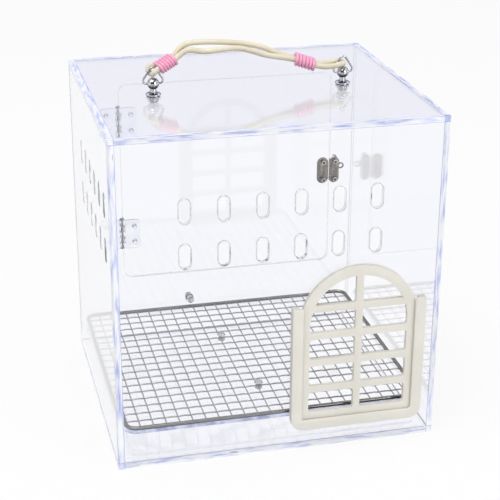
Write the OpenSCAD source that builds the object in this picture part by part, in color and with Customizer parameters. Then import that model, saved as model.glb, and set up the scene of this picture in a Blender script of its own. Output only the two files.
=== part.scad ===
// Bird travel carrier: a clear acrylic box with a rear door, a sliding front grille,
// a wire floor grid over a drip tray, and a soft cord carrying handle.
// Units are millimetres. +X is right, +Y is the rear and +Z is up.
// The origin is at the centre of the footprint, on the surface the box stands on.

/* [Acrylic box] */
// Outside width of the box
body_w = 250; // [246:1:290]
// Outside depth of the box
body_d = 220; // [212:1:260]
// Height of the box to the top of its lid
body_h = 260; // [250:1:300]
// Thickness of every acrylic panel
wall = 4; // [3:0.5:5]
// Rounding of the four upright outer edges
edge_r = 1.5; // [0.5:0.5:3]

/* [Air slots] */
// Width of one slot
slot_w = 8.8; // [6:0.2:10]
// Height of one slot
slot_h = 19; // [14:0.5:24]
// Slots in each row
slot_count = 6; // [3:1:7]
// Height of the upper row
slot_row_z = 203; // [195:1:215]
// Drop from the upper row to the lower one
slot_row_drop = 34.5; // [28:0.5:36]
// Spacing of the slots in the front panel
front_slot_pitch = 28.6; // [22:0.2:30]
// Spacing of the slots in the left panel
side_slot_pitch = 24.6; // [20:0.2:27]
// How far the left panel's rows sit in front of its middle
side_slot_shift = 22; // [0:1:24]

/* [Rear door] */
// Width of the door
door_w = 185.5; // [150:0.5:190]
// Height of the door
door_h = 171; // [140:1:174]
// Distance of the door's middle from the middle of the rear panel
door_x = 8.2; // [0:0.2:10]
// Height of the door's middle
door_z = 147.5; // [140:0.5:152]
// Corner radius of the door
door_r = 7; // [4:1:12]
// Sawn gap between the door and the rear panel
door_gap = 0.6; // [0.4:0.1:1]

/* [Door hinges] */
// Height of one hinge
hinge_h = 26.5; // [22:0.5:32]
// Half of the distance between the two hinges
hinge_half_span = 49; // [40:1:54]
// Height of the point midway between the hinges
hinge_mid_z = 150.5; // [145:0.5:154]
// Reach of a hinge leaf beyond the hinge axis
leaf_reach = 15.5; // [12:0.5:18]
// Thickness of a hinge leaf
leaf_t = 1.2; // [1:0.1:1.6]
// Radius of a hinge knuckle
knuckle_r = 2.3; // [2.1:0.1:2.8]
// Knuckles in one hinge
knuckle_count = 5; // [3:2:5]
// Radius of a hinge pin
pin_r = 1.1; // [0.9:0.1:1.3]
// Height step between the two rivets of a leaf
leaf_rivet_step = 14; // [10:0.5:18]

/* [Door latch] */
// Height of the latch
latch_z = 146.5; // [142:0.5:152]
// Height of each latch plate
latch_plate_h = 24; // [20:0.5:28]
// Width of the plate on the door
keeper_w = 10.2; // [8:0.2:10.8]
// Width of the plate on the rear panel
base_w = 8.8; // [7:0.2:10]
// Thickness of both latch plates
plate_t = 1.2; // [1:0.1:1.6]
// Gap between the two latch plates
latch_gap = 1.2; // [0.8:0.1:2]
// Thickness of the swinging hook
hook_t = 1.2; // [1:0.1:1.6]
// Radius of the rivet that the hook turns on
rivet_r = 1.2; // [1:0.1:1.4]
// Height step between the two screws of a latch plate
latch_screw_step = 16.4; // [15:0.2:18]

/* [Sliding grille] */
// Distance of the grille's middle from the middle of the front panel
gate_x = 59.5; // [50:0.5:62]
// Width of the grille
gate_w = 92.4; // [84:0.2:96]
// Height of the top of the grille's arch
gate_top = 151; // [146:1:158]
// Thickness of the grille
gate_t = 3.6; // [3:0.1:4.5]
// Width of the grille's outer frame
gate_rail = 8; // [6:0.5:10]
// Width of the grille's bars
gate_bar = 5.4; // [4:0.2:7]
// Height of the lowest cross bar
gate_bar_z = 51.8; // [50:0.2:60]
// Spacing of the cross bars
gate_bar_pitch = 22.3; // [20:0.1:23]
// Cross bars in the grille
gate_bar_count = 4; // [2:1:4]
// Height of the bottom of the track
track_z = 18.5; // [14:0.5:22]
// Height of the open tops of the track
track_top = 121; // [110:1:124]
// Width of the track's front face
track_face = 8.4; // [7:0.2:10]
// Thickness of the track's front lip
track_lip = 2.4; // [1.8:0.2:3]
// Radius of the track's outer bottom corners
track_r = 10; // [7:0.5:14]
// Play between the grille and its track
gate_play = 0.4; // [0.3:0.1:0.6]

/* [Floor grid and tray] */
// Height of the drip tray
tray_h = 24; // [18:0.5:30]
// Thickness of the tray
tray_t = 1.5; // [1:0.1:2.5]
// Width of the tray's rim
tray_rim = 5; // [4:0.5:8]
// Corner radius of the tray's rim
tray_r = 12; // [9:0.5:18]
// Play between the tray and the box
tray_play = 1.5; // [0.8:0.1:3]
// Play between the floor grid and the box
grid_play = 3; // [2:0.1:4]
// Diameter of the grid's rim
rim_d = 3.2; // [2.6:0.1:4]
// Corner radius of the grid's rim
rim_bend = 8; // [6:0.5:14]
// Diameter of the grid's wires
wire_d = 1.3; // [1:0.1:1.6]
// Meshes from left to right
mesh_x = 23; // [14:1:24]
// Meshes from front to rear
mesh_y = 18; // [12:1:19]

/* [Carrying handle] */
// Half of the distance between the two handle studs
stud_x = 74.5; // [68:0.5:80]
// How far the studs sit in front of the lid's middle
stud_shift = 8; // [0:0.5:12]
// Diameter of a stud's ball
ball_d = 9.2; // [8.6:0.1:9.4]
// Height of the ball's middle above the lid
ball_rise = 8.7; // [8.4:0.1:10]
// Diameter of a stud's foot
foot_d = 11.6; // [10:0.2:14]
// Diameter of a stud's threaded shank
shank_d = 4; // [3:0.5:5]
// Diameter of the soft handle cord
cord_d = 4.6; // [4:0.1:4.7]
// Diameter of the winding cord
wrap_d = 2; // [1.8:0.1:2.3]
// Turns in one winding
wrap_turns = 6; // [4:1:7]

/* [Hidden] */
$fn = 48;
// Radial clearance of a pin that turns in its hole
run = 0.05;
// Clearance of a piece that rests on its seat
rest = 0.2;
// Overshoot of a cutting tool
over = 1;
// Colours of the finishes
clear_acrylic = [0.86, 0.88, 0.95, 0.35];
clear_plastic = [0.88, 0.90, 0.93, 0.45];
cream_plastic = [0.92, 0.89, 0.84];
bright_steel = [0.72, 0.72, 0.71];
nickel = [0.60, 0.57, 0.53];
cream_cord = [0.93, 0.89, 0.78];
pink_cord = [0.95, 0.55, 0.74];
// Faces of the box
front_y = -body_d / 2;
back_y = body_d / 2;
inner_w = body_w - 2 * wall;
inner_d = body_d - 2 * wall;
wall_h = body_h - wall;
// Hinge axis, on the outside of the rear panel at the door's left gap
door_left = door_x - door_w / 2;
door_right = door_x + door_w / 2;
hinge_x = door_left - door_gap / 2;
hinge_y = back_y + knuckle_r + 0.35;
knuckle_h = hinge_h / knuckle_count;
knuckle_gap = 0.3;
hinge_mids = [for (side = [-1, 1]) hinge_mid_z + side * hinge_half_span];
rivet_x = leaf_reach - 5;
rivet_shank_r = 1.1;
// Latch
keeper_x = door_right - keeper_w / 2;
base_x = door_right + latch_gap + base_w / 2;
leaf_corner = 3;
screw_shank_r = 1;
screw_head_r = 1.9;
screw_head_h = 1;
hook_z = latch_z + 2.5;
hook_y = back_y + plate_t + screw_head_h + 0.4;
post_x = door_right - 2.6;
post_r = 1.1;
hook_reach = base_x - post_x;
thumb_x = 6.8;
thumb_r = 2.8;
// Sliding grille
gate_half = gate_w / 2;
gate_spring = gate_top - gate_half;
track_half = gate_half + gate_play + (track_face - 2.8);
track_wall = track_half - gate_half - gate_play;
gate_z = track_z + track_wall + 0.3;
groove_d = gate_t + 2 * gate_play;
track_d = groove_d + track_lip;
opening_half = gate_half - 6;
gate_bottom_rail = 8;
// Floor grid and tray
tray_w = inner_w - 2 * tray_play;
tray_depth = inner_d - 2 * tray_play;
tray_body_w = tray_w - 2 * tray_rim;
tray_body_d = tray_depth - 2 * tray_rim;
tray_top = wall + tray_h;
rim_z = tray_top + rest + rim_d / 2;
rim_w = inner_w - 2 * grid_play - rim_d;
rim_l = inner_d - 2 * grid_play - rim_d;
pitch_x = rim_w / mesh_x;
pitch_y = rim_l / mesh_y;
wire_gap = 0.06;
long_wire_z = rim_z + (wire_d + wire_gap) / 2;
cross_wire_z = rim_z - (wire_d + wire_gap) / 2;
stop_x = -27;
stop_z = rim_z + rim_d / 2 + 5.4;
// Handle
stud_y = -stud_shift;
ball_z = body_h + ball_rise;
ring_wire = 1.5;
ring_half = 4.9;
ring_h = 12.4;
ring_bend = 2.6;
foot_h = 1.6;
nut_h = 3.2;
washer_h = 1;

// Flat shapes

module rounded_rect(w, h, r) {
    square([w - 2 * r, h], center = true);
    square([w, h - 2 * r], center = true);
    for (sx = [-1, 1], sy = [-1, 1])
        translate([sx * (w / 2 - r), sy * (h / 2 - r)]) circle(r);
}

module stadium(w, h) {
    square([w, h - w], center = true);
    for (side = [-1, 1])
        translate([0, side * (h - w) / 2]) circle(d = w);
}

// Stands a flat shape up in the X-Z plane, from y0 towards the rear
module upright(y0, t) {
    translate([0, y0 + t, 0]) rotate([90, 0, 0]) linear_extrude(t) children();
}

// A row of slots, spaced along the first axis
module slot_rows(pitch) {
    for (row = [0, 1], i = [0 : slot_count - 1])
        translate([(i - (slot_count - 1) / 2) * pitch, slot_row_z - row * slot_row_drop])
            stadium(slot_w, slot_h);
}

// Acrylic box

module box_plan(z0, z1) {
    translate([0, 0, z0]) linear_extrude(z1 - z0) rounded_rect(body_w, body_d, edge_r);
}

module front_panel() {
    color(clear_acrylic)
    difference() {
        intersection() {
            box_plan(0, wall_h);
            translate([-body_w / 2, front_y, 0]) cube([body_w, wall, wall_h]);
        }
        upright(front_y - over, wall + 2 * over) slot_rows(front_slot_pitch);
        upright(front_y - over, wall + 2 * over) gate_opening();
    }
}

// Arched way in behind the grille
module gate_opening() {
    opening_z = gate_z + 6;
    translate([gate_x, gate_spring]) circle(opening_half, $fn = 96);
    translate([gate_x - opening_half, opening_z])
        square([2 * opening_half, gate_spring - opening_z]);
}

module back_panel() {
    color(clear_acrylic)
    difference() {
        intersection() {
            box_plan(0, wall_h);
            translate([-body_w / 2, back_y - wall, 0]) cube([body_w, wall, wall_h]);
        }
        upright(back_y - wall - over, wall + 2 * over)
            translate([door_x, door_z])
                rounded_rect(door_w + 2 * door_gap, door_h + 2 * door_gap, door_r + door_gap);
        for (z = hinge_mids) leaf_rivet_places(-1, z) rivet_hole();
        latch_screw_places(base_x) screw_hole();
        translate([stop_x, back_y - wall - over, stop_z])
            rotate([-90, 0, 0]) cylinder(r = screw_shank_r + 0.5 + run, h = wall + 2 * over);
    }
}

module side_wall(x0) {
    translate([x0, -inner_d / 2, 0]) cube([wall, inner_d, wall_h]);
}

module left_panel() {
    color(clear_acrylic)
    difference() {
        side_wall(-body_w / 2);
        translate([-body_w / 2 - over, -side_slot_shift, 0])
            rotate([90, 0, 90]) linear_extrude(wall + 2 * over) slot_rows(side_slot_pitch);
    }
}

module right_panel() {
    color(clear_acrylic) side_wall(body_w / 2 - wall);
}

module top_panel() {
    color(clear_acrylic)
    difference() {
        box_plan(wall_h, body_h);
        for (side = [-1, 1])
            translate([side * stud_x, stud_y, wall_h - over])
                cylinder(d = shank_d + 0.2, h = wall + 2 * over);
    }
}

module bottom_panel() {
    color(clear_acrylic)
    translate([-inner_w / 2, -inner_d / 2, 0]) cube([inner_w, inner_d, wall]);
}

// Rear door with its hinges

module door() {
    color(clear_acrylic)
    difference() {
        upright(back_y - wall, wall)
            translate([door_x, door_z]) rounded_rect(door_w, door_h, door_r);
        for (z = hinge_mids) leaf_rivet_places(1, z) rivet_hole();
        latch_screw_places(keeper_x) screw_hole();
    }
}

// Puts a shape at both rivets of a leaf: side 1 is the door's leaf, -1 the panel's
module leaf_rivet_places(side, z) {
    for (step = [-1, 1])
        translate([hinge_x + side * rivet_x, back_y, z + step * leaf_rivet_step / 2]) children();
}

module rivet_hole() {
    translate([0, -wall - over, 0])
        rotate([-90, 0, 0]) cylinder(r = rivet_shank_r + run, h = wall + leaf_t + 2 * over);
}

// Flat of one leaf, with its two outer corners rounded
module leaf_plate(side, z) {
    w = leaf_reach - knuckle_r - 0.4;
    translate([hinge_x + side * (leaf_reach - w / 2), 0, z]) upright(back_y, leaf_t) {
        rounded_rect(w, hinge_h, leaf_corner);
        translate([-side * w / 4, 0]) square([w / 2, hinge_h], center = true);
    }
}

// One leaf with the knuckles that belong to it
module hinge_leaf(side, z, own) {
    difference() {
        union() {
            leaf_plate(side, z);
            for (k = own) knuckle(side, z, k);
        }
        translate([hinge_x, hinge_y, z - hinge_h / 2 - over])
            cylinder(r = pin_r + run, h = hinge_h + 2 * over);
        leaf_rivet_places(side, z) rivet_hole();
    }
}

// One knuckle: a tube round the pin and the tab that joins it to its leaf
module knuckle(side, z, k) {
    z0 = z - hinge_h / 2 + k * knuckle_h + knuckle_gap / 2;
    h = knuckle_h - knuckle_gap;
    tab = knuckle_r + 0.8;
    translate([hinge_x, hinge_y, z0]) cylinder(r = knuckle_r, h = h);
    translate([side > 0 ? hinge_x + 0.9 : hinge_x - 0.9 - tab, back_y + 0.1, z0])
        cube([tab, leaf_t - 0.1, h]);
}

module door_hinge_leaves() {
    color(clear_plastic)
    for (z = hinge_mids) hinge_leaf(1, z, [for (k = [1 : 2 : knuckle_count - 1]) k]);
}

module frame_hinge_leaves() {
    color(clear_plastic)
    for (z = hinge_mids) hinge_leaf(-1, z, [for (k = [0 : 2 : knuckle_count - 1]) k]);
}

// Straight pin with a head on top and a spread foot that keeps it in
module hinge_pins() {
    head_r = pin_r + 0.6;
    color(bright_steel)
    for (z = hinge_mids)
        translate([hinge_x, hinge_y, z - hinge_h / 2]) {
            cylinder(r = pin_r, h = hinge_h);
            translate([0, 0, hinge_h]) cylinder(r = head_r, h = 0.8);
            translate([0, 0, -0.8]) cylinder(r = head_r, h = 0.8);
        }
}

// Clear snap rivet: a round head outside, a shank, and a spread end inside
module snap_rivet() {
    rotate([-90, 0, 0]) {
        translate([0, 0, -wall - 0.7]) cylinder(r = rivet_shank_r, h = wall + leaf_t + 1);
        translate([0, 0, -wall - 0.7 - run]) cylinder(r = rivet_shank_r + 0.7, h = 0.7);
        translate([0, 0, leaf_t + run]) cylinder(r1 = rivet_shank_r + 1, r2 = rivet_shank_r + 0.3, h = 0.9);
    }
}

module door_hinge_rivets() {
    color(clear_plastic)
    for (z = hinge_mids) leaf_rivet_places(1, z) snap_rivet();
}

module frame_hinge_rivets() {
    color(clear_plastic)
    for (z = hinge_mids) leaf_rivet_places(-1, z) snap_rivet();
}

// Latch

module latch_screw_places(x) {
    for (step = [-1, 1])
        translate([x, back_y, latch_z + step * latch_screw_step / 2]) children();
}

// Hole through plate and panel, widened in the plate for a countersunk head
module screw_hole() {
    rotate([-90, 0, 0]) {
        translate([0, 0, -wall - over]) cylinder(r = screw_shank_r + run, h = wall + plate_t + over);
        translate([0, 0, plate_t - screw_head_h])
            cylinder(r1 = screw_shank_r + run, r2 = screw_head_r + run, h = screw_head_h);
        translate([0, 0, plate_t]) cylinder(r = screw_head_r + run, h = over);
    }
}

// Countersunk machine screw with its nut on the inside of the panel
module panel_screw() {
    rotate([-90, 0, 0])
    difference() {
        union() {
            translate([0, 0, -wall - 1.8]) cylinder(r = screw_shank_r, h = wall + 1.8 + plate_t - 0.6);
            translate([0, 0, -wall - 1.3 - run]) cylinder(r = 2, h = 1.3, $fn = 6);
            translate([0, 0, plate_t - screw_head_h])
                cylinder(r1 = screw_shank_r, r2 = screw_head_r, h = screw_head_h);
        }
        for (turn = [45, 135])
            rotate([0, 0, turn]) translate([-1.1, -0.2, plate_t - 0.4]) cube([2.2, 0.4, 1]);
    }
}

module keeper_screws() {
    color(bright_steel) latch_screw_places(keeper_x) panel_screw();
}

module base_screws() {
    color(bright_steel) latch_screw_places(base_x) panel_screw();
}

// Door plate with the headed post that the hook drops over
module latch_keeper() {
    color(nickel)
    difference() {
        union() {
            upright(back_y, plate_t) translate([keeper_x, latch_z]) stadium(keeper_w, latch_plate_h);
            translate([post_x, back_y + plate_t / 2, hook_z])
                rotate([-90, 0, 0]) cylinder(r = post_r, h = hook_y + hook_t + 0.4 - back_y - plate_t / 2);
            translate([post_x, hook_y + hook_t + 0.3, hook_z])
                rotate([-90, 0, 0]) cylinder(r = post_r + 0.6, h = 0.7);
        }
        latch_screw_places(keeper_x) screw_hole();
    }
}

// Panel plate with the raised seat of the hook
module latch_base() {
    color(nickel)
    difference() {
        union() {
            upright(back_y, plate_t) translate([base_x, latch_z]) stadium(base_w, latch_plate_h);
            translate([base_x, back_y + plate_t / 2, hook_z])
                rotate([-90, 0, 0]) cylinder(r = rivet_r + 0.9, h = hook_y - run - back_y - plate_t / 2);
        }
        latch_screw_places(base_x) screw_hole();
        translate([base_x, back_y - over, hook_z])
            rotate([-90, 0, 0]) cylinder(r = rivet_r + 0.02, h = hook_y + over);
    }
}

// Headed rivet through the plate's seat and the hook
module latch_rivet() {
    color(bright_steel)
    translate([base_x, back_y, hook_z]) rotate([-90, 0, 0]) {
        translate([0, 0, 0.1]) cylinder(r = rivet_r, h = hook_y + hook_t + run - back_y);
        translate([0, 0, hook_y + hook_t + run - back_y]) cylinder(r1 = rivet_r + 1, r2 = rivet_r, h = 0.8);
    }
}

// Swinging hook, drawn undone: an eye on the rivet, an arm standing up, a thumb ring at the
// right. A quarter turn lays the arm down to the left, and its notch takes in the door's post.
module latch_hook() {
    arm_w = 3.4;
    notch_r = post_r + 0.3;
    color(nickel)
    translate([base_x, 0, hook_z])
    upright(hook_y, hook_t)
    difference() {
        union() {
            circle(rivet_r + 1.6);
            translate([0.6 - arm_w / 2, 0]) square([arm_w, hook_reach]);
            translate([0.6, hook_reach]) circle(arm_w / 2 + 0.6);
            translate([0, -0.9]) square([thumb_x, 1.8]);
            translate([thumb_x, 0]) circle(thumb_r);
        }
        circle(rivet_r + run);
        translate([thumb_x, 0]) circle(thumb_r - 1.1);
        translate([0, hook_reach]) circle(notch_r);
        translate([-arm_w, hook_reach - notch_r]) square([arm_w, 2 * notch_r]);
    }
}

// Sliding grille and its track

// U outline round the grille: half is its half width, low its bottom and r its bottom radius
module u_outline(half, low, r, high) {
    translate([gate_x, 0]) {
        translate([-half, low + r]) square([2 * half, high - low - r]);
        translate([-half + r, low]) square([2 * (half - r), r + 0.01]);
        for (side = [-1, 1]) translate([side * (half - r), low + r]) circle(r);
    }
}

module gate_track() {
    lip_half = track_half - track_face;
    groove_half = track_half - track_wall;
    high = track_top + over;
    color(cream_plastic)
    difference() {
        upright(front_y - track_d, track_d) u_outline(track_half, track_z, track_r, track_top);
        upright(front_y - track_d - over, track_d + 2 * over)
            u_outline(lip_half, track_z + track_face, track_r - track_face + 1, high);
        upright(front_y - groove_d, groove_d + over)
            u_outline(groove_half, track_z + track_wall, track_r - track_wall, high);
    }
}

// Outline of the grille, drawn in by inset: straight sides below a half-round arch
module gate_outline(inset) {
    r = track_r - track_wall - gate_play;
    u_outline(gate_half - inset, gate_z + inset, max(r - inset, 1), gate_spring);
    translate([gate_x, gate_spring]) circle(gate_half - inset, $fn = 96);
}

// Rounded openings between the frame and the bars, cut off at the top by the arch
module gate_panes() {
    pane_half = gate_half - gate_rail;
    pane_w = pane_half - gate_bar / 2;
    bars = [for (i = [0 : gate_bar_count - 1]) gate_bar_z + i * gate_bar_pitch];
    lows = concat([gate_z + gate_bottom_rail], [for (z = bars) z + gate_bar / 2]);
    highs = concat([for (z = bars) z - gate_bar / 2], [gate_top]);
    intersection() {
        union() {
            translate([gate_x, gate_spring]) circle(pane_half, $fn = 96);
            translate([gate_x - pane_half, 0]) square([2 * pane_half, gate_spring]);
        }
        for (side = [-1, 1], i = [0 : gate_bar_count])
            translate([gate_x + side * (gate_bar + pane_w) / 2, (lows[i] + highs[i]) / 2])
                rounded_rect(pane_w, highs[i] - lows[i], 2.2);
    }
}

module gate() {
    color(cream_plastic)
    upright(front_y - gate_play - gate_t, gate_t)
    difference() {
        gate_outline(0);
        gate_panes();
    }
}

// Drip tray and floor grid

module drip_tray() {
    body_r = tray_r - tray_rim;
    color(clear_plastic)
    translate([0, 0, wall])
    difference() {
        union() {
            linear_extrude(tray_h) rounded_rect(tray_body_w, tray_body_d, body_r);
            translate([0, 0, tray_h - tray_t])
                linear_extrude(tray_t) rounded_rect(tray_w, tray_depth, tray_r);
        }
        translate([0, 0, tray_t])
            linear_extrude(tray_h)
                rounded_rect(tray_body_w - 2 * tray_t, tray_body_d - 2 * tray_t, body_r - tray_t);
    }
}

// A round bar between two points on the same level, along X or along Y
module level_bar(from, length, d, along_x) {
    translate(from) rotate(along_x ? [0, 90, 0] : [-90, 0, 0]) cylinder(d = d, h = length, $fn = 24);
}

// Rim of the grid: four straight bars joined by quarter bends
module grid_rim() {
    sx = rim_w - 2 * rim_bend;
    sy = rim_l - 2 * rim_bend;
    for (side = [-1, 1]) {
        level_bar([-sx / 2, side * rim_l / 2, rim_z], sx, rim_d, true);
        level_bar([side * rim_w / 2, -sy / 2, rim_z], sy, rim_d, false);
    }
    for (q = [0 : 3]) {
        cx = (q == 0 || q == 3 ? 1 : -1) * sx / 2;
        cy = (q < 2 ? 1 : -1) * sy / 2;
        translate([cx, cy, rim_z]) rotate([0, 0, 90 * q])
            rotate_extrude(angle = 90) translate([rim_bend, 0]) circle(d = rim_d, $fn = 24);
    }
}

// Welded grid: cross wires below, long wires above, all let into the rim
module wire_mesh() {
    color(bright_steel)
    union() {
        grid_rim();
        for (i = [1 : mesh_x - 1])
            level_bar([i * pitch_x - rim_w / 2, -rim_l / 2, long_wire_z], rim_l, wire_d, false);
        for (i = [1 : mesh_y - 1])
            level_bar([-rim_w / 2, i * pitch_y - rim_l / 2, cross_wire_z], rim_w, wire_d, true);
    }
}

// Screw beside a wire crossing: its head and its nut hold the wires between them
module crossing_screw(column, row) {
    beside = wire_d / 2 + 1.2;
    head_under = long_wire_z + wire_d / 2 + run;
    nut_top = cross_wire_z - wire_d / 2 - run;
    translate([column * pitch_x - rim_w / 2 + beside, row * pitch_y - rim_l / 2 + beside, 0]) {
        translate([0, 0, nut_top - 3]) cylinder(r = screw_shank_r, h = head_under - nut_top + 3.5);
        translate([0, 0, nut_top - 2]) cylinder(r = 3, h = 2, $fn = 6);
        translate([0, 0, head_under]) cylinder(r1 = 3.4, r2 = 2.6, h = 1.8);
    }
}

module mesh_screws() {
    color(bright_steel) {
        crossing_screw(10, 12);
        crossing_screw(11, 4);
    }
}

// Round-headed screw through the rear panel that keeps the grid from lifting
module mesh_stop() {
    knob_y = back_y - wall - run;
    color(bright_steel)
    translate([stop_x, 0, stop_z]) rotate([-90, 0, 0]) {
        translate([0, 0, knob_y - 7]) cylinder(r = screw_shank_r + 0.5, h = wall + 10);
        translate([0, 0, knob_y - 6.5]) cylinder(r = 3, h = 5);
        translate([0, 0, knob_y - 1]) cylinder(r = 3.8, h = 1);
        translate([0, 0, back_y + run]) cylinder(r = 3.2, h = 2.2, $fn = 6);
    }
}

// Carrying handle

// Ball-headed stud: ball with a cross hole, neck, foot, and a threaded shank through the lid
module handle_stud(x) {
    color(bright_steel)
    translate([x, stud_y, body_h])
    difference() {
        union() {
            translate([0, 0, -wall - nut_h - washer_h - 1])
                cylinder(d = shank_d, h = wall + nut_h + washer_h + 1.5);
            cylinder(d = foot_d, h = foot_h * 0.6);
            translate([0, 0, foot_h * 0.6]) cylinder(d1 = foot_d, d2 = foot_d - 2.4, h = foot_h * 0.4);
            cylinder(d = 5, h = ball_rise - ball_d / 2 + 1);
            translate([0, 0, ball_rise]) sphere(d = ball_d);
        }
        translate([-ball_d, 0, ball_rise]) rotate([0, 90, 0]) cylinder(d = ring_wire + 2 * run, h = 2 * ball_d);
    }
}

module handle_stud_left() {
    handle_stud(-stud_x);
}

module handle_stud_right() {
    handle_stud(stud_x);
}

module stud_washers() {
    color(bright_steel)
    for (side = [-1, 1])
        translate([side * stud_x, stud_y, wall_h - washer_h])
            difference() {
                cylinder(d = 10, h = washer_h);
                translate([0, 0, -over]) cylinder(d = shank_d + 0.2, h = washer_h + 2 * over);
            }
}

module stud_nuts() {
    color(bright_steel)
    for (side = [-1, 1])
        translate([side * stud_x, stud_y, wall_h - washer_h - nut_h])
            difference() {
                cylinder(d = 8, h = nut_h, $fn = 6);
                translate([0, 0, -over]) cylinder(d = shank_d + 0.04, h = nut_h + 2 * over);
            }
}

// One bend of a ring's wire in the X-Z plane, from angle a on, with its middle at [x, z].
// It is a hair thinner than the straight wire and reaches into it by 2 degrees at each end.
module ring_bend_at(x, z, a, turn) {
    translate([x, 0, z]) rotate([90, 0, 0]) rotate([0, 0, a - 2])
        rotate_extrude(angle = turn + 4) translate([ring_bend, 0]) circle(d = ring_wire - 0.02);
}

// Three-cornered wire ring: its straight foot runs through the ball, its tip holds the cord
module handle_ring(x) {
    rise = ring_h - 2 * ring_bend;
    lean = atan2(ring_half, rise);
    color(bright_steel)
    translate([x, stud_y, ball_z]) {
        translate([-ring_half, 0, 0]) rotate([0, 90, 0]) cylinder(d = ring_wire, h = 2 * ring_half);
        ring_bend_at(ring_half, ring_bend, -90, 90 + lean);
        ring_bend_at(0, ring_h - ring_bend, lean, 180 - 2 * lean);
        ring_bend_at(-ring_half, ring_bend, 180 - lean, 90 + lean);
        for (side = [-1, 1])
            translate([side * (ring_half + ring_bend * cos(lean)), 0, ring_bend + ring_bend * sin(lean)])
                rotate([0, -side * lean, 0]) cylinder(d = ring_wire, h = norm([ring_half, rise]));
    }
}

module handle_ring_left() {
    handle_ring(-stud_x);
}

module handle_ring_right() {
    handle_ring(stud_x);
}

// The cord is one endless loop: out along the rear strand and back along the front one.
// Each row is [x, y, z] from the middle between the studs, at the height of the balls.
left_eye = [-stud_x - 0.6, 0, 7.4];
right_eye = [stud_x + 0.2, 0, 7.3];
rear_strand = [
    [-74.4, 2.83, 8.3], [-72.6, 4, 10.5], [-68.2, 2.55, 13.2], [-61.8, 2.5, 18], [-55.4, 2.5, 22.9],
    [-48, 2.9, 28.6], [-39, 3.4, 32], [-25, 3.6, 33], [-5, 3.6, 31], [12, 3.4, 26], [26, 2.8, 20],
    [36.7, 2.5, 15.1], [44, 2.5, 11.9], [51.3, 2.5, 8.9], [59, 3.3, 7.6], [66, 4.1, 7.6],
    [70.76, 4, 8], [73.55, 2.83, 7.5]
];
front_strand = [
    [73.55, -2.83, 7.3], [70.76, -4, 7.3], [66, -4.1, 6.4], [59, -3.3, 6.6], [51.3, -2.5, 8.9],
    [44, -2.5, 11.9], [36.7, -2.5, 15.1], [26, -2.9, 18.6], [12, -4, 21.5], [-5, -4.8, 24],
    [-25, -5, 26], [-39, -4.4, 27], [-48, -3.2, 26], [-55.4, -2.5, 22.7], [-61.8, -2.5, 18],
    [-68.2, -2.55, 13.2], [-72.6, -4, 10.5], [-74.4, -2.83, 8.3]
];
route = concat([left_eye], rear_strand, [right_eye], front_strand);
cord_steps = 2;
cord_sides = 10;

function spline(a, b, c, d, t) =
    0.5 * ((2 * b) + (c - a) * t + (2 * a - 5 * b + 4 * c - d) * t * t + (3 * b - a - 3 * c + d) * t * t * t);

function loop_points(p, steps) = [
    for (i = [0 : len(p) - 1], s = [0 : steps - 1])
        let (n = len(p))
        spline(p[(i + n - 1) % n], p[i], p[(i + 1) % n], p[(i + 2) % n], s / steps)
];

function unit(v) = v / norm(v);

// Ring of points round one place on a path, square to its direction
function ring_at(p, dir, up, r, sides) =
    let (u = unit(cross(dir, up)), w = unit(cross(u, dir)))
    [for (k = [0 : sides - 1]) p + r * (cos(360 * k / sides) * u + sin(360 * k / sides) * w)];

function quad(a, b, c, d) = [[a, b, c], [a, c, d]];

// Skin between neighbouring rings; a closed path joins its last ring to its first
function tube_skin(rings, sides, closed) = [
    for (i = [0 : rings - (closed ? 1 : 2)], k = [0 : sides - 1])
        let (a = i * sides, b = ((i + 1) % rings) * sides, k2 = (k + 1) % sides)
        each quad(a + k, a + k2, b + k2, b + k)
];

module closed_tube(path, r, sides) {
    n = len(path);
    points = [
        for (i = [0 : n - 1])
            each ring_at(path[i], path[(i + 1) % n] - path[(i + n - 1) % n], [0, 0.2, 1], r, sides)
    ];
    polyhedron(points, tube_skin(n, sides, true), convexity = 10);
}

module open_tube(path, up, r, sides) {
    n = len(path);
    points = [
        for (i = [0 : n - 1])
            each ring_at(path[i], path[min(i + 1, n - 1)] - path[max(i - 1, 0)], up[i], r, sides)
    ];
    first = [for (k = [1 : sides - 2]) [0, k + 1, k]];
    last = [for (k = [1 : sides - 2]) [(n - 1) * sides, (n - 1) * sides + k, (n - 1) * sides + k + 1]];
    polyhedron(points, concat(tube_skin(n, sides, false), first, last), convexity = 10);
}

module handle_cord() {
    color(cream_cord)
    translate([0, stud_y, ball_z])
        closed_tube(loop_points(route, cord_steps), cord_d / 2, cord_sides);
}

// Winding round both strands: an oval helix along the strands' own direction
wrap_pitch = wrap_d + 0.5;
wrap_steps = 24;
wrap_sides = 6;
wrap_a = cord_d + wrap_d / 2 + 0.7;
wrap_b = cord_d / 2 + wrap_d / 2 + 0.9;

// Turns of one winding: mid is its middle, tilt the angle of its axis above X
function wrap_turns_points(mid, tilt) = [
    for (i = [0 : wrap_turns * wrap_steps])
        let (
            turn = 360 * i / wrap_steps,
            along = (i / wrap_steps - wrap_turns / 2) * wrap_pitch,
            high = wrap_b * sin(turn)
        )
        mid + [along * cos(tilt) - high * sin(tilt), wrap_a * cos(turn), along * sin(tilt) + high * cos(tilt)]
];

// Adds the two ends, each running straight on for one cord diameter
function with_ends(p) =
    let (n = len(p))
    concat([p[0] + wrap_d * unit(p[0] - p[1])], p, [p[n - 1] + wrap_d * unit(p[n - 1] - p[n - 2])]);

// Least gap of a winding to itself, measured between all points over half a turn apart
function least_gap(p) = min([
    for (i = [0 : len(p) - 1], j = [i + wrap_steps / 2 : 1 : len(p) - 1]) norm(p[j] - p[i]) - wrap_d
]);

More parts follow.
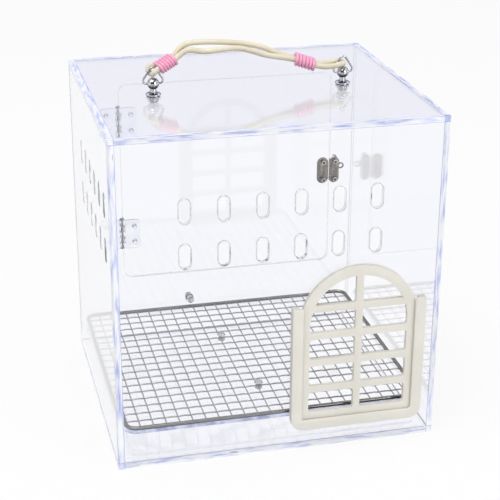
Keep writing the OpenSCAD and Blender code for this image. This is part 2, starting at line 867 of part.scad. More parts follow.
module cord_wrap(mid, tilt) {
    path = with_ends(wrap_turns_points(mid, tilt));
    axis = [cos(tilt), 0, sin(tilt)];
    out = [for (p = path) let (q = p - mid) q - (q * axis) * axis];
    echo(least_gap_to_itself = least_gap(path));
    color(pink_cord)
    translate([0, stud_y, ball_z]) open_tube(path, out, wrap_d / 2, wrap_sides);
}

module cord_wrap_left() {
    cord_wrap([-61.8, 0, 18], 37);
}

module cord_wrap_right() {
    cord_wrap([44, 0, 11.9], -24);
}

front_panel();
back_panel();
left_panel();
right_panel();
top_panel();
bottom_panel();
door();
door_hinge_leaves();
frame_hinge_leaves();
hinge_pins();
door_hinge_rivets();
frame_hinge_rivets();
latch_keeper();
latch_base();
latch_hook();
latch_rivet();
keeper_screws();
base_screws();
gate_track();
gate();
drip_tray();
wire_mesh();
mesh_screws();
mesh_stop();
handle_stud_left();
handle_stud_right();
stud_washers();
stud_nuts();
handle_ring_left();
handle_ring_right();
handle_cord();
cord_wrap_left();
cord_wrap_right();
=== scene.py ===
from math import cos, pi, radians, sin

import bmesh
import bpy
from mathutils import Matrix, Vector


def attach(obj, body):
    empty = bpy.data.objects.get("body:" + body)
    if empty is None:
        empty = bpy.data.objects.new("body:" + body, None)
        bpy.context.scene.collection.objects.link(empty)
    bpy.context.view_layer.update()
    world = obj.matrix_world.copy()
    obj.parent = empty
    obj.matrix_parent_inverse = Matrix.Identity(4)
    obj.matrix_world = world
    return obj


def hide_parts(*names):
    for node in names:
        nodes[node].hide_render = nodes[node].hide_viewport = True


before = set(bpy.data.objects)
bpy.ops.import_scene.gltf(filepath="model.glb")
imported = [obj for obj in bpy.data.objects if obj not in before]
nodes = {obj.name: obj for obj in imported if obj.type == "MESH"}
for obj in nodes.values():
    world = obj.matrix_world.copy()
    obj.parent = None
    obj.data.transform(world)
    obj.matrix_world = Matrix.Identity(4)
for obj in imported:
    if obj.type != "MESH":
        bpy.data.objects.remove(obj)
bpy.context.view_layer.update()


# The view: a camera a metre in front of the carrier, a little to its left and above it,
# looking down on it, with the framing of the photograph.
camera_data = bpy.data.cameras.new("view")
camera_data.sensor_width = 36
camera_data.lens = 97.81
camera = bpy.data.objects.new("view", camera_data)
bpy.context.scene.collection.objects.link(camera)
camera.matrix_world = (
    Matrix.Translation((-0.24097, -0.98622, 0.54824))
    @ Matrix.Rotation(-0.24263, 4, "Z")
    @ Matrix.Rotation(pi / 2 - 0.39696, 4, "X")
    @ Matrix.Rotation(0.00496, 4, "Z")
)
bpy.context.scene.camera = camera
bpy.context.scene.view_settings.view_transform = "Standard"


# The studio: a white table under the carrier. Seen directly, in shiny things or through clear
# ones it shows white, and otherwise it is plain pale paint that takes the carrier's shadow.
def shader(name):
    material = bpy.data.materials.new(name)
    material.use_nodes = True
    material.node_tree.nodes.clear()
    return material, material.node_tree


def node(tree, kind, settings=None, **sockets):
    made = tree.nodes.new(kind)
    for key, value in (settings or {}).items():
        setattr(made, key, value)
    for key, value in sockets.items():
        socket = made.inputs[key.replace("_", " ")]
        if isinstance(value, bpy.types.NodeSocket):
            tree.links.new(value, socket)
        else:
            socket.default_value = value
    return made


def calc(tree, operation, *values):
    made = node(tree, "ShaderNodeMath", {"operation": operation})
    for socket, value in zip(made.inputs, values):
        if isinstance(value, bpy.types.NodeSocket):
            tree.links.new(value, socket)
        else:
            socket.default_value = value
    return made.outputs[0]


def mix_shaders(tree, share, first, second):
    made = node(tree, "ShaderNodeMixShader")
    for socket, value in zip(made.inputs, (share, first.outputs[0], second.outputs[0])):
        tree.links.new(value, socket)
    return made


def paint(piece, material):
    piece.data.materials.clear()
    piece.data.materials.append(material)


white_table, tree = shader("white_table")
rays = node(tree, "ShaderNodeLightPath").outputs
mirrored = calc(tree, "MAXIMUM", rays["Is Camera Ray"], rays["Is Glossy Ray"])
seen = calc(tree, "MAXIMUM", calc(tree, "MULTIPLY", mirrored, 0.88), rays["Is Transmission Ray"])
table_paint = node(tree, "ShaderNodeBsdfDiffuse", Color=(0.92, 0.92, 0.93, 1))
table_glow = node(tree, "ShaderNodeEmission", Color=(1, 1, 1, 1), Strength=1.0)
finished = mix_shaders(tree, seen, table_paint, table_glow)
node(tree, "ShaderNodeOutputMaterial", Surface=finished.outputs[0])

table_shape = bmesh.new()
bmesh.ops.create_grid(table_shape, x_segments=1, y_segments=1, size=6)
bmesh.ops.translate(table_shape, vec=(0, 0, -0.0004), verts=table_shape.verts)
table_mesh = bpy.data.meshes.new("table")
table_shape.to_mesh(table_mesh)
table_shape.free()
table = bpy.data.objects.new("table", table_mesh)
bpy.context.scene.collection.objects.link(table)
paint(table, white_table)


# The surround: plain white behind the carrier. Metal and sheet mirror a tent with pale lavender
# walls, a darker front where the camera stands, and a bright top; two soft lamps light it.
def ramp(tree, value, *stops):
    made = node(tree, "ShaderNodeValToRGB", Fac=value)
    elements = made.color_ramp.elements
    elements[0].position, elements[0].color = stops[0][0], (*stops[0][1], 1)
    elements[1].position, elements[1].color = stops[-1][0], (*stops[-1][1], 1)
    for position, colour in stops[1:-1]:
        elements.new(position).color = (*colour, 1)
    return made.outputs["Color"]


def blend(tree, share, first, second, how="MIX"):
    kind = {"data_type": "RGBA", "blend_type": how}
    made = node(tree, "ShaderNodeMix", kind, Factor=share, A=first, B=second)
    return made.outputs[2]


surround = bpy.data.worlds.new("surround")
surround.use_nodes = True
bpy.context.scene.world = surround
tree = surround.node_tree
tree.nodes.clear()
rays = node(tree, "ShaderNodeLightPath").outputs
way = node(tree, "ShaderNodeTexCoord").outputs["Generated"]
way = node(tree, "ShaderNodeSeparateXYZ", Vector=way).outputs
height = way["Z"]
through = ramp(tree, height, (0.0, (1, 1, 1)), (0.45, (0.97, 0.975, 1)), (0.58, (0.62, 0.66, 0.86)),
               (0.66, (0.45, 0.48, 0.66)), (0.72, (1, 1, 1)), (1.0, (0.9, 0.92, 1)))
tent = ramp(tree, height, (0.0, (1, 1, 1)), (0.1, (0.78, 0.78, 0.9)), (0.3, (0.55, 0.55, 0.74)),
            (0.48, (0.7, 0.7, 0.84)), (0.55, (1, 1, 1)), (0.74, (1, 1, 1)), (0.8, (0.1, 0.1, 0.13)),
            (0.9, (0.1, 0.1, 0.13)), (0.93, (1, 1, 1)))
toward_camera = calc(tree, "LESS_THAN", way["Y"], -0.5)
above_table = calc(tree, "GREATER_THAN", height, -0.1)
dark_front = calc(tree, "MULTIPLY", toward_camera, above_table)
dark_share = calc(tree, "MULTIPLY", dark_front, 0.93)
room = blend(tree, dark_share, tent, (0.03, 0.03, 0.04, 1))
room_seen = node(tree, "ShaderNodeBackground", Color=room, Strength=1.0)
through_seen = node(tree, "ShaderNodeBackground", Color=through, Strength=1.0)
air_light = node(tree, "ShaderNodeBackground", Color=(0.97, 0.98, 1.0, 1), Strength=0.62)
plain_white = node(tree, "ShaderNodeBackground", Color=(1, 1, 1, 1), Strength=1.0)
air = mix_shaders(tree, rays["Is Glossy Ray"], air_light, room_seen)
air = mix_shaders(tree, rays["Is Transmission Ray"], air, through_seen)
air = mix_shaders(tree, rays["Is Camera Ray"], air, plain_white)
node(tree, "ShaderNodeOutputWorld", Surface=air.outputs[0])


def soft_lamp(name, place, aim, size, watts):
    data = bpy.data.lights.new(name, "AREA")
    data.shape = "SQUARE"
    data.size = size
    data.energy = watts
    lamp = bpy.data.objects.new(name, data)
    lamp.location = place
    lamp.rotation_euler = (Vector(aim) - Vector(place)).to_track_quat("-Z", "Y").to_euler()
    bpy.context.scene.collection.objects.link(lamp)


soft_lamp("lamp_over", (-0.5, -0.4, 1.7), (0, 0, 0.1), 1.2, 14)
soft_lamp("lamp_front", (0.9, -1.5, 0.8), (0, 0, 0.1), 0.9, 7)


# Six panels and the door of clear cast acrylic, laser cut, with the edges of every opening lightly
# broken. The panels are solvent-joined, so their joints are clear. The sheet's edges are painted a
# lavender tint with painted white highlights and flecks of painted dark reflection.
def noise(tree, place, scale, detail=3.0, roughness=0.5):
    made = node(tree, "ShaderNodeTexNoise", Vector=place, Scale=scale, Detail=detail, Roughness=roughness)
    return made.outputs["Fac"]


def span(tree, value, low, high):
    made = node(tree, "ShaderNodeMapRange", Value=value, To_Min=low, To_Max=high)
    return made.outputs["Result"]


def finish(tree, **sockets):
    body = node(tree, "ShaderNodeBsdfPrincipled", **sockets)
    node(tree, "ShaderNodeOutputMaterial", Surface=body.outputs[0])


def between(tree, value, low, high):
    over, under = calc(tree, "GREATER_THAN", value, low), calc(tree, "LESS_THAN", value, high)
    return calc(tree, "MULTIPLY", over, under)


def either(tree, first, second):
    return calc(tree, "MAXIMUM", first, second)


cast_acrylic, tree = shader("cast_acrylic")
place = node(tree, "ShaderNodeTexCoord").outputs["Object"]
at = node(tree, "ShaderNodeSeparateXYZ", Vector=place).outputs
across = calc(tree, "ABSOLUTE", at["X"])
deep = calc(tree, "ABSOLUTE", at["Y"])
high = at["Z"]
half_w, half_d, wall_top, sheet = 0.121, 0.106, 0.256, 0.004
hair, lap, floor_lap, seam_width = 0.00002, 0.0002, 0.0015, 0.0003
on_top = calc(tree, "GREATER_THAN", high, wall_top + sheet - 0.0001)
to_rear = either(tree, deep, calc(tree, "MULTIPLY_ADD", on_top, 0.0032, at["Y"]))
outside = either(tree, on_top, calc(tree, "GREATER_THAN", deep, half_d + sheet - 0.0001))
to_side = calc(tree, "MULTIPLY_ADD", outside, 0.001, across)
by_side = calc(tree, "GREATER_THAN", to_side, half_w - lap)
by_face = calc(tree, "GREATER_THAN", to_rear, half_d - lap)
by_level = calc(tree, "ADD", calc(tree, "GREATER_THAN", high, wall_top - lap),
                calc(tree, "LESS_THAN", high, sheet + floor_lap))
corners = calc(tree, "ADD", calc(tree, "ADD", by_side, by_face), by_level)
edge = calc(tree, "GREATER_THAN", corners, 1.5)
past_side = calc(tree, "GREATER_THAN", across, half_w + hair)
past_face = calc(tree, "GREATER_THAN", deep, half_d + hair)
joint_face = calc(tree, "MULTIPLY", calc(tree, "COMPARE", deep, half_d, hair), past_side)
joint_lid = calc(tree, "MULTIPLY", calc(tree, "COMPARE", high, wall_top, hair),
                 either(tree, past_side, past_face))
joint_floor = calc(tree, "MULTIPLY", calc(tree, "LESS_THAN", high, sheet - hair),
                   either(tree, calc(tree, "COMPARE", across, half_w, hair),
                          calc(tree, "COMPARE", deep, half_d, hair)))
joined = either(tree, either(tree, joint_face, joint_lid), joint_floor)


def within_sheet(tree, value, start):
    return between(tree, value, start + 0.00005, start + sheet - 0.00005)


inside_wall = either(tree, within_sheet(tree, across, half_w), within_sheet(tree, deep, half_d))
inside_level = either(tree, within_sheet(tree, high, wall_top), within_sheet(tree, high, 0.0))
sheet_edge = either(tree, inside_wall, inside_level)
cut = calc(tree, "MULTIPLY", sheet_edge, calc(tree, "SUBTRACT", 1.0, edge))


def drawn_out(tree, place, first, second):
    both = calc(tree, "MULTIPLY", first, second)
    return calc(tree, "MULTIPLY", place, calc(tree, "MULTIPLY_ADD", both, -0.88, 1.0))


drawn = node(tree, "ShaderNodeCombineXYZ", X=drawn_out(tree, at["X"], by_face, by_level),
             Y=drawn_out(tree, at["Y"], by_side, by_level),
             Z=drawn_out(tree, high, by_side, by_face)).outputs[0]
# Edge band colour: a lavender tint in streaks with painted white highlights, multiplied by flecks of painted
# dark reflection.
tint_and_highlight_streaks = ramp(tree, noise(tree, drawn, 420.0, 2.0, 0.55), (0.3, (0.40, 0.46, 0.78)),
               (0.4, (0.62, 0.67, 0.96)), (0.47, (0.80, 0.84, 1.0)), (0.55, (0.98, 0.98, 1.0)))
dark_reflection_flecks = ramp(tree, noise(tree, drawn, 210.0, 3.0, 0.6), (0.66, (1, 1, 1)), (0.7, (0.2, 0.22, 0.34)))
tint_and_painted_light_band = blend(tree, 1.0, tint_and_highlight_streaks, dark_reflection_flecks, "MULTIPLY")
seam_x = between(tree, to_side, half_w - lap, half_w + seam_width)
seam_y = between(tree, to_rear, half_d - lap, half_d + seam_width)
seam_z = either(tree, between(tree, high, wall_top - lap, wall_top + seam_width),
                between(tree, high, sheet + floor_lap - 2 * seam_width, sheet + floor_lap))
seam = either(tree, either(tree, seam_x, seam_y), seam_z)
tint_and_painted_light_band = blend(tree, calc(tree, "MULTIPLY", seam, 0.75), tint_and_painted_light_band, (0.42, 0.46, 0.72, 1))


def near_skin(tree, value, start):
    from_middle = calc(tree, "ABSOLUTE", calc(tree, "SUBTRACT", value, start + sheet / 2))
    return calc(tree, "COMPARE", from_middle, 0.0019, 0.0003)


# Painted shade: the cut walls of the openings are pale lavender, with a painted dark line along their arrises
# near both skins of the sheet.
by_skin = either(tree, near_skin(tree, deep, half_d), near_skin(tree, across, half_w))
arris = calc(tree, "MULTIPLY", cut, by_skin)
inner = blend(tree, arris, (0.84, 0.86, 0.95, 1), (0.1, 0.11, 0.17, 1))
trim = blend(tree, cut, (0.965, 0.968, 0.99, 1), inner)
colour = blend(tree, edge, trim, tint_and_painted_light_band)
smears = span(tree, noise(tree, place, 14.0, 4.0), 0.0, 0.014)
rough = calc(tree, "MULTIPLY_ADD", edge, 0.14, smears)
clear = calc(tree, "MULTIPLY_ADD", edge, -0.85, calc(tree, "MULTIPLY_ADD", cut, -0.45, 1.0))
ripple = calc(tree, "MULTIPLY", noise(tree, drawn, 300.0, 2.0), edge)
bump = node(tree, "ShaderNodeBump", Strength=0.4, Distance=0.0003, Height=ripple)
from_inside = node(tree, "ShaderNodeNewGeometry").outputs["Backfacing"]
leak = calc(tree, "MULTIPLY", calc(tree, "MULTIPLY", from_inside, edge), 0.95)
# Noise breaks the painted dark line into dashes by letting it turn see-through in places. The rest of each cut
# wall stays mostly see-through.
dash_noise = span(tree, noise(tree, place, 330.0, 2.0), 1.1, -0.5)
polished = 0.75
arris_see_through = calc(tree, "MULTIPLY_ADD", arris, calc(tree, "SUBTRACT", dash_noise, polished), polished)
faint = either(tree, calc(tree, "MULTIPLY", cut, arris_see_through), leak)
solid = either(tree, calc(tree, "SUBTRACT", calc(tree, "SUBTRACT", 1.0, joined), faint), 0.0)
finish(tree, Base_Color=colour, Roughness=rough, IOR=1.49, Transmission_Weight=clear,
       Alpha=solid, Normal=bump.outputs[0])


def copy_of(name):
    shape = bmesh.new()
    shape.from_mesh(nodes[name].data)
    bmesh.ops.remove_doubles(shape, verts=shape.verts, dist=0.000002)
    bmesh.ops.dissolve_limit(shape, angle_limit=radians(0.5), verts=shape.verts, edges=shape.edges)
    return shape


def piece_of(shape, name, material, body, smooth=True):
    if smooth:
        for face in shape.faces:
            face.smooth = True
    mesh = bpy.data.meshes.new(name)
    shape.to_mesh(mesh)
    shape.free()
    piece = bpy.data.objects.new(name, mesh)
    bpy.context.scene.collection.objects.link(piece)
    paint(piece, material)
    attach(piece, body)
    return piece


def with_broken_edges(node_name, name, body):
    shape = copy_of(node_name)
    clearance, sharp, width = 0.0005, radians(69), 0.0003
    low, top = sheet + clearance, wall_top - clearance
    within = {vert for vert in shape.verts if low < vert.co.z < top
              and (abs(vert.co.x) < half_w - clearance or abs(vert.co.y) < half_d - clearance)}
    arrises = [line for line in shape.edges
               if within.issuperset(line.verts) and line.calc_face_angle(0) > sharp]
    bmesh.ops.bevel(shape, geom=arrises, offset=width, segments=1, profile=0.5, affect="EDGES",
                    material=-1, clamp_overlap=True)
    panel = piece_of(shape, name, cast_acrylic, body, smooth=False)
    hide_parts(node_name)


for name in ("right_panel", "top_panel", "bottom_panel"):
    paint(nodes[name], cast_acrylic)
with_broken_edges("front_panel", "front_sheet", "box")
with_broken_edges("back_panel", "rear_sheet", "box")
with_broken_edges("left_panel", "left_sheet", "box")
with_broken_edges("door", "door_sheet", "door")


# Two hinges on the rear, moulded in clear plastic and held with clear snap rivets. Each leaf lies
# a hair off the sheet, with its edges softly rounded.
def lift_off(shape, axis, level, shift):
    on_it = [vert for vert in shape.verts if abs(vert.co[axis] - level) < 0.00001]
    step = [0, 0, 0]
    step[axis] = shift
    bmesh.ops.translate(shape, vec=step, verts=on_it)


def soften(piece, width, segments=3):
    bevel = piece.modifiers.new("soft_edges", "BEVEL")
    bevel.width = width
    bevel.segments = segments
    bevel.limit_method = "ANGLE"
    bevel.angle_limit = radians(35)
    bevel.harden_normals = True


clear_mould, tree = shader("clear_mould")
place = node(tree, "ShaderNodeTexCoord").outputs["Object"]
tint = ramp(tree, noise(tree, place, 90.0), (0.3, (0.90, 0.92, 0.97)), (0.6, (0.97, 0.98, 1.0)))
rough = span(tree, noise(tree, place, 60.0, 4.0), 0.01, 0.06)
finish(tree, Base_Color=tint, Roughness=rough, IOR=1.49, Transmission_Weight=1.0)
box_back, film = 0.110, 0.00003
for node_name, name, body in (("door_hinge_leaves", "door_leaves", "door"),
                              ("frame_hinge_leaves", "frame_leaves", "box")):
    shape = copy_of(node_name)
    lift_off(shape, 1, box_back, film)
    leaf = piece_of(shape, name, clear_mould, body)
    soften(leaf, 0.0002, 2)
    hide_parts(node_name)
for name in ("door_hinge_rivets", "frame_hinge_rivets"):
    paint(nodes[name], clear_mould)


# Turned and pressed metal: hinge pins of dark steel, bright screws and nuts, chromed handle studs
# with their wire rings, and the two screws and the stop that belong to the floor grid.
def metal(name, colour, rough_low, rough_high, grain=900.0):
    material, tree = shader(name)
    place = node(tree, "ShaderNodeTexCoord").outputs["Object"]
    rub = noise(tree, place, grain)
    duller = tuple(part * 0.86 for part in colour)
    tone = ramp(tree, noise(tree, place, 220.0, 4.0), (0.3, duller), (0.65, colour))
    # Painted shade and painted reflection: the colour is darkened on faces that turn downward, and darkened
    # towards the outline where faces turn to grazing angles.
    aim = node(tree, "ShaderNodeTexCoord").outputs["Normal"]
    upward = calc(tree, "MULTIPLY_ADD", node(tree, "ShaderNodeSeparateXYZ", Vector=aim).outputs["Z"], 0.5, 0.5)
    under = ramp(tree, upward, (0.32, (0.1, 0.1, 0.1)), (0.56, (1, 1, 1)))
    skim = node(tree, "ShaderNodeLayerWeight", Blend=0.5).outputs["Facing"]
    painted_outline_reflection = ramp(tree, skim, (0.45, (1, 1, 1)), (0.85, (0.16, 0.16, 0.17)))
    tone = blend(tree, 1.0, tone, blend(tree, 1.0, under, painted_outline_reflection, "MULTIPLY"), "MULTIPLY")
    bump = node(tree, "ShaderNodeBump", Strength=0.06, Distance=0.00005, Height=rub)
    finish(tree, Base_Color=tone, Metallic=1.0, Roughness=span(tree, rub, rough_low, rough_high),
           Normal=bump.outputs[0])
    return material


chrome = metal("chrome", (0.82, 0.82, 0.83), 0.02, 0.07)
screw_steel = metal("screw_steel", (0.62, 0.61, 0.6), 0.14, 0.26)
pin_steel = metal("pin_steel", (0.2, 0.2, 0.22), 0.2, 0.36)
for name in ("handle_stud_left", "handle_stud_right", "handle_ring_left", "handle_ring_right"):
    paint(nodes[name], chrome)
pale_zinc = metal("pale_zinc", (0.9, 0.9, 0.92), 0.3, 0.42)
for name, coat in (("stud_washers", pale_zinc), ("stud_nuts", pale_zinc), ("mesh_screws", screw_steel),
                   ("mesh_stop", chrome)):
    paint(nodes[name], coat)
paint(nodes["hinge_pins"], pin_steel)


# The latch: two stamped plates and a swinging hook, nickel plated and a little browned, with
# edges broken by tumbling. The plates lie a hair off the sheet.
aged_nickel = metal("aged_nickel", (0.31, 0.265, 0.21), 0.2, 0.36, 1400.0)
latch_screw, tree = shader("latch_screw")
place = node(tree, "ShaderNodeTexCoord").outputs["Object"]
at = node(tree, "ShaderNodeSeparateXYZ", Vector=place).outputs
keeper_x, base_x, latch_z, screw_step = 0.09585, 0.10655, 0.1465, 0.0082


def away_from(tree, value, middle):
    return calc(tree, "ABSOLUTE", calc(tree, "SUBTRACT", value, middle))


# Painted shade: each latch screw is painted nearly black within about a millimetre of its centre, for the
# shade in its recess, and pale around it. Scuff noise roughens that border and sets the roughness.
off_x = calc(tree, "MINIMUM", away_from(tree, at["X"], keeper_x), away_from(tree, at["X"], base_x))
off_z = away_from(tree, away_from(tree, at["Z"], latch_z), screw_step)
squares = calc(tree, "ADD", calc(tree, "POWER", off_x, 2.0), calc(tree, "POWER", off_z, 2.0))
reach = calc(tree, "SQRT", squares)
scuffs_and_shade_edge = noise(tree, place, 1200.0)
tone = ramp(tree, calc(tree, "MULTIPLY_ADD", scuffs_and_shade_edge, 0.2, calc(tree, "MULTIPLY", reach, 500.0)),
            (0.62, (0.03, 0.027, 0.024)), (0.76, (0.78, 0.74, 0.68)))
finish(tree, Base_Color=tone, Metallic=1.0, Roughness=span(tree, scuffs_and_shade_edge, 0.18, 0.32))
for name in ("keeper_screws", "base_screws"):
    paint(nodes[name], latch_screw)
paint(nodes["latch_rivet"], pin_steel)
for node_name, name, body in (("latch_keeper", "door_latch_plate", "door"),
                              ("latch_base", "panel_latch_plate", "box"),
                              ("latch_hook", "swing_hook", "hook")):
    shape = copy_of(node_name)
    lift_off(shape, 1, box_back, film)
    part = piece_of(shape, name, aged_nickel, body)
    soften(part, 0.0002, 2)
    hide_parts(node_name)


# The grille and its U track are moulded in cream plastic with a satin skin. Every edge has the
# soft radius of the mould, and the track is bonded to the front panel.
cream_plastic, tree = shader("cream_plastic")
place = node(tree, "ShaderNodeTexCoord").outputs["Object"]
tone = ramp(tree, noise(tree, place, 26.0, 4.0), (0.3, (0.73, 0.705, 0.63)), (0.7, (0.79, 0.765, 0.69)))
skin = noise(tree, place, 2600.0, 2.0)
bump = node(tree, "ShaderNodeBump", Strength=0.08, Distance=0.00006, Height=skin)
finish(tree, Base_Color=tone, Roughness=span(tree, skin, 0.36, 0.5), Normal=bump.outputs[0],
       Subsurface_Weight=0.08, Subsurface_Scale=0.003)
for node_name, name, body, width in (("gate", "grille", "grille", 0.0009),
                                     ("gate_track", "grille_track", "box", 0.0008)):
    shape = copy_of(node_name)
    lift_off(shape, 1, -box_back, -film)
    part = piece_of(shape, name, cream_plastic, body)
    soften(part, width)
    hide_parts(node_name)


# The drip tray is thermoformed from clear sheet and lies loose on the floor panel. Its front lip is painted
# with flecks of painted dark blue reflection, and the rest of its rim is painted a little greyer than its
# walls as painted shade.
tray_sheet, tree = shader("tray_sheet")
place = node(tree, "ShaderNodeTexCoord").outputs["Object"]
at = node(tree, "ShaderNodeSeparateXYZ", Vector=place).outputs
rim_under, lip_back = 0.0262, -0.0985
# Painted reflection and shade: dark blue flecks on the front lip, and a greyer colour on the rest of the rim.
at_rim = calc(tree, "GREATER_THAN", at["Z"], rim_under)
at_lip = calc(tree, "MULTIPLY", at_rim, calc(tree, "LESS_THAN", at["Y"], lip_back))
dark_reflection_flecks = ramp(tree, noise(tree, place, 120.0, 3.0), (0.35, (0.10, 0.13, 0.34)), (0.6, (0.50, 0.55, 0.80)))
walls_and_shaded_rim = blend(tree, at_rim, (0.99, 0.992, 1.0, 1), (0.82, 0.83, 0.9, 1))
colour = blend(tree, at_lip, walls_and_shaded_rim, dark_reflection_flecks)
from_inside = node(tree, "ShaderNodeNewGeometry").outputs["Backfacing"]
finish(tree, Base_Color=colour, Roughness=span(tree, noise(tree, place, 30.0), 0.01, 0.05), IOR=1.2,
       Transmission_Weight=1.0, Alpha=calc(tree, "SUBTRACT", 1.0, from_inside))
shape = copy_of("drip_tray")
lift_off(shape, 2, sheet, 0.00005)
tray = piece_of(shape, "clear_tray", tray_sheet, "box")
soften(tray, 0.0004, 2)
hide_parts("drip_tray")


# The floor grid is welded from steel wire, 23 by 18 meshes, inside a rim of thick rod. The wires
# along its depth lie straight on top, and those across rise in a shallow arch from weld to weld.
def tube(name, paths, radius, sides, closed, material, body):
    data = bpy.data.curves.new(name, "CURVE")
    data.dimensions = "3D"
    data.bevel_depth = radius
    data.bevel_resolution = (sides - 4) // 2
    data.use_fill_caps = not closed
    for path in paths:
        spline = data.splines.new("POLY")
        spline.points.add(len(path) - 1)
        for point, where in zip(spline.points, path):
            point.co = (*where, 1)
        spline.use_cyclic_u = closed
    holder = bpy.data.objects.new(name + "_line", data)
    mesh = bpy.data.meshes.new_from_object(holder)
    bpy.data.objects.remove(holder)
    bpy.data.curves.remove(data)
    mesh.name = name
    mesh.shade_smooth()
    piece = bpy.data.objects.new(name, mesh)
    bpy.context.scene.collection.objects.link(piece)
    paint(piece, material)
    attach(piece, body)
    return piece


rim_half_x, rim_half_y, rim_z, rim_bend = 0.1164, 0.1014, 0.0298, 0.008
rim_r, wire_r, layer, arch = 0.0016, 0.00057, 0.0005, 0.0004
meshes_x, meshes_y, parts = 23, 18, 6

wires = []
for i in range(1, meshes_x):
    x = -rim_half_x + 2 * rim_half_x * i / meshes_x
    wires.append([(x, rim_half_y * k / 9, rim_z + layer) for k in range(-9, 10)])
for j in range(1, meshes_y):
    y = -rim_half_y + 2 * rim_half_y * j / meshes_y
    wires.append([
        (-rim_half_x + 2 * rim_half_x * k / (parts * meshes_x), y,
         rim_z - layer + arch * abs(sin(pi * k / parts)))
        for k in range(parts * meshes_x + 1)
    ])
rim_path = []
for quarter, (sx, sy) in enumerate(((1, 1), (-1, 1), (-1, -1), (1, -1))):
    for k in range(7):
        turn = radians(90 * quarter + 15 * k)
        rim_path.append((sx * (rim_half_x - rim_bend) + rim_bend * cos(turn),
                         sy * (rim_half_y - rim_bend) + rim_bend * sin(turn), rim_z))
grid_steel = metal("grid_steel", (0.5, 0.49, 0.47), 0.12, 0.24, 1500.0)
# The rim rod is painted darker than the wires: painted shade for the dark reflections along it.
shaded_rim_steel = metal("shaded_rim_steel", (0.27, 0.26, 0.24), 0.05, 0.12, 1500.0)
net = tube("grid_wires", wires, wire_r, 6, False, grid_steel, "box")
rim = tube("grid_rim", [rim_path], rim_r, 16, True, shaded_rim_steel, "box")
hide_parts("wire_mesh")
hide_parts("wire_mesh")


# The handle is one endless loop of smooth braided cord, slung through both rings and bound to
# itself twice with a tight winding of thinner pink cord.
def smooth_loop(points, steps):
    count = len(points)
    path = []
    for i in range(count):
        a, b, c, d = (Vector(points[(i + k) % count]) for k in (-1, 0, 1, 2))
        for s in range(steps):
            t = s / steps
            path.append(0.5 * (2 * b + (c - a) * t + (2 * a - 5 * b + 4 * c - d) * t * t
                               + (3 * b - a - 3 * c + d) * t ** 3))
    return path


def braid(name, low, high, strands, repeats, depth, roughness):
    material, tree = shader(name)
    uv = node(tree, "ShaderNodeSeparateXYZ", Vector=node(tree, "ShaderNodeTexCoord").outputs["UV"]).outputs
    round_it = calc(tree, "MULTIPLY", uv["X"], 2 * pi * strands)
    along = calc(tree, "MULTIPLY", uv["Y"], 2 * pi * repeats)
    left = calc(tree, "SINE", calc(tree, "ADD", round_it, along))
    right = calc(tree, "SINE", calc(tree, "SUBTRACT", round_it, along))
    plait = calc(tree, "MULTIPLY", left, right)
    # The plait is coloured from the darker colour in its grooves to the lighter on its ridges: the cord's own
    # colour with painted shade in the grooves and painted highlight on the ridges.
    tone = ramp(tree, span(tree, plait, 0.3, 0.8), (0.0, low), (1.0, high))
    bump = node(tree, "ShaderNodeBump", Strength=depth, Distance=0.00012, Height=plait)
    finish(tree, Base_Color=tone, Roughness=roughness, Normal=bump.outputs[0], Sheen_Weight=0.15)
    return material


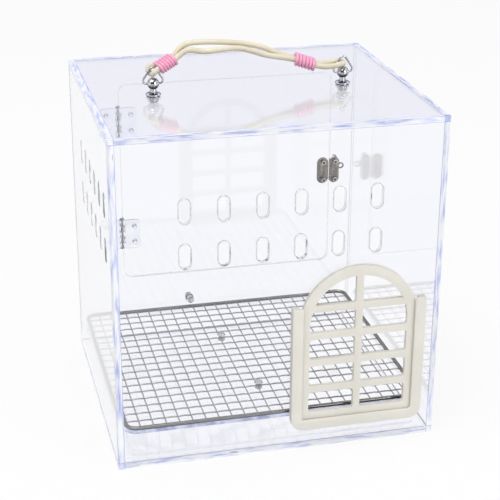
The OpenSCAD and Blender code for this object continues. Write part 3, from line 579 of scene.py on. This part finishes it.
ball = Vector((0, -0.008, 0.2687))
cord_points = [
    (-75.4, 0, 7.3), (-76.9, 2.6, 8.3), (-77.4, 4.0, 10.9), (-75.0, 3.6, 13.1), (-71, 1.8, 13.2),
    (-64.6, 3.0, 14.6), (-58.6, 4.8, 17.6), (-55.2, 5.8, 21.2), (-51, 6.7, 25.3), (-45, 7.3, 27.4),
    (-36, 7.5, 27.8), (-22, 7.5, 27.1),
    (-8, 7.4, 25.6), (4, 7.1, 23.4), (12, 6.8, 21.3), (20, 6.4, 17.8), (28, 5.9, 14.4), (36, 4.9, 12.0),
    (44, 3.4, 9.5), (52, 1.8, 7.6), (59, 2.1, 7.1), (66, 3.6, 7.3), (70.76, 4, 8), (73.55, 2.83, 7.5),
    (74.7, 0, 7.3), (73.55, -2.83, 7.3), (70.76, -4, 7.2), (66, -4.4, 6.3), (59, -4.2, 6.2), (52, -3.2, 7.2),
    (44, -1.6, 9.5), (36, -0.2, 12), (28, 0.7, 13.7), (20, 0.7, 15.2), (12, 0.6, 17.0), (4, 0.5, 19.8),
    (-8, 0.4, 23.2), (-22, 0.1, 23.1), (-34, -0.1, 22.3), (-43, 0, 23.7), (-49, 0.3, 23.6),
    (-54.5, 0.7, 19.8), (-58.8, -0.2, 17.0), (-64.6, -1.9, 14.6), (-70.6, -3.7, 12.2), (-73.6, -4.3, 9.9),
    (-75.1, -2.6, 8)
]
cream_braid = braid("cream_braid", (0.70, 0.62, 0.44), (0.92, 0.87, 0.72), 6, 96, 0.2, 0.32)
loop = [ball + Vector(point) / 1000 for point in smooth_loop(cord_points, 5)]
cord = tube("cord_loop", [loop], 0.00215, 16, True, cream_braid, "handle")
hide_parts("handle_cord")

pink_braid = braid("pink_braid", (0.88, 0.30, 0.50), (0.98, 0.50, 0.68), 3, 150, 0.2, 0.3)


def signed_power(value, power):
    return abs(value) ** power * (1 if value > 0 else -1)


def winding(name, middle, tilt, turn_in, pitch, thick, node_name):
    turns, steps, wide, tall = 6, 24, 0.0060, 0.0037
    end_tuck, tuck_step, squareness = 0.55, 0.15, 0.85
    face = Matrix.Rotation(turn_in, 3, "Z") @ Matrix.Rotation(-tilt, 3, "Y")
    axis, across, rise = face @ Vector((1, 0, 0)), face @ Vector((0, 1, 0)), face @ Vector((0, 0, 1))
    path = []
    for k in range(turns * steps + 1):
        turn = 2 * pi * k / steps
        tuck = min(1.0, end_tuck + tuck_step * min(k, turns * steps - k))
        side = signed_power(cos(turn), squareness) * wide * tuck
        up = signed_power(sin(turn), squareness) * tall * tuck
        onward = axis * (k / steps - turns / 2) * pitch
        path.append(ball + Vector(middle) / 1000 + onward + rise * up + across * side)
    piece = tube(name, [path], thick, 10, False, pink_braid, "handle")
    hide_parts(node_name)


winding("winding_left", (-64.6, 0.6, 14.6), radians(24), radians(16), 0.0024, 0.00122, "cord_wrap_left")
winding("winding_right", (44, 0.9, 9.6), radians(-18), radians(-11), 0.0027, 0.0013, "cord_wrap_right")
